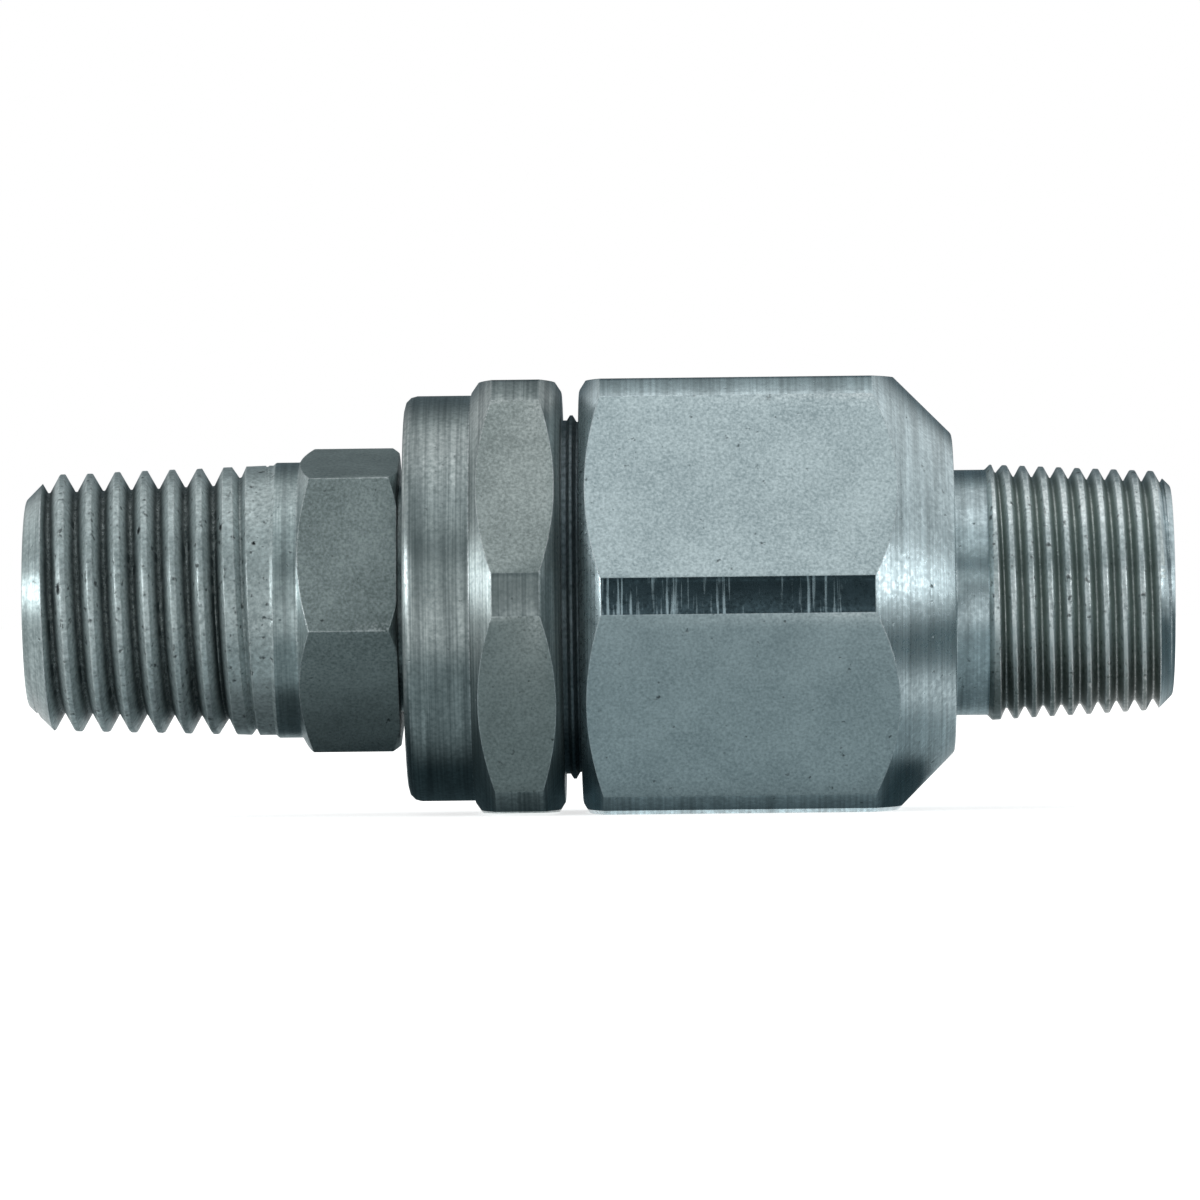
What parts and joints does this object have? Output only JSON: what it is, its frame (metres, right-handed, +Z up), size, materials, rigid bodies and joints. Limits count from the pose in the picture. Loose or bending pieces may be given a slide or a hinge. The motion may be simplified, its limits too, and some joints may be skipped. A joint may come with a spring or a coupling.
{
  "type": "hydraulic swivel fitting",
  "caption": "In-line high-pressure swivel: a stem with a tapered pipe thread turns in a hexagonal body that ends in a finer tapered thread.",
  "frame": {"origin": "centre of the stem's open end, on the swivel axis", "axes": "+X along the swivel axis from the stem's open end towards the body's open end, +Z up with the fitting lying on one flat of the body's hexagon"},
  "size_m": [0.0588, 0.0246, 0.0222],
  "materials": {
    "body_steel": "sawn and turned bar, satin",
    "nut_steel": "turned bar, satin, slightly darker",
    "stem_steel": "turned bar, worn, dark in the thread roots",
    "race_steel": "hardened and ground",
    "ball_steel": "polished bearing steel",
    "seal_rubber": "smooth nitrile rubber",
    "backup_plastic": "white low-friction plastic"
  },
  "bodies": {
    "housing": {"body": "body_steel", "gland_nut": "nut_steel", "race_nut_side": "race_steel", "race_middle": "race_steel", "race_body_side": "race_steel", "dust_seal": "seal_rubber"},
    "stem": {"stem": "stem_steel", "pressure_seal": "seal_rubber", "backup_ring": "backup_plastic"},
    "ball_row_nut_side": {"ball_nut_side_01": "ball_steel", "ball_nut_side_02": "ball_steel", "ball_nut_side_03": "ball_steel", "ball_nut_side_04": "ball_steel", "ball_nut_side_05": "ball_steel", "ball_nut_side_06": "ball_steel", "ball_nut_side_07": "ball_steel", "ball_nut_side_08": "ball_steel", "ball_nut_side_09": "ball_steel", "ball_nut_side_10": "ball_steel", "ball_nut_side_11": "ball_steel"},
    "ball_row_body_side": {"ball_body_side_01": "ball_steel", "ball_body_side_02": "ball_steel", "ball_body_side_03": "ball_steel", "ball_body_side_04": "ball_steel", "ball_body_side_05": "ball_steel", "ball_body_side_06": "ball_steel", "ball_body_side_07": "ball_steel", "ball_body_side_08": "ball_steel", "ball_body_side_09": "ball_steel", "ball_body_side_10": "ball_steel", "ball_body_side_11": "ball_steel"}
  },
  "joints": [
    {"name": "stem_swivel", "type": "hinge", "parent": "housing", "child": "stem", "pos_m": [0, 0, 0], "axis": [1, 0, 0], "continuous": true},
    {"name": "ball_orbit_nut_side", "type": "hinge", "parent": "housing", "child": "ball_row_nut_side", "pos_m": [0.03568, 0, 0], "axis": [1, 0, 0], "continuous": true},
    {"name": "ball_orbit_body_side", "type": "hinge", "parent": "housing", "child": "ball_row_body_side", "pos_m": [0.03958, 0, 0], "axis": [1, 0, 0], "continuous": true}
  ],
  "couplings": [
    {"joint": "ball_orbit_nut_side", "follows": "stem_swivel", "ratio": 0.4045},
    {"joint": "ball_orbit_body_side", "follows": "stem_swivel", "ratio": 0.4045}
  ]
}
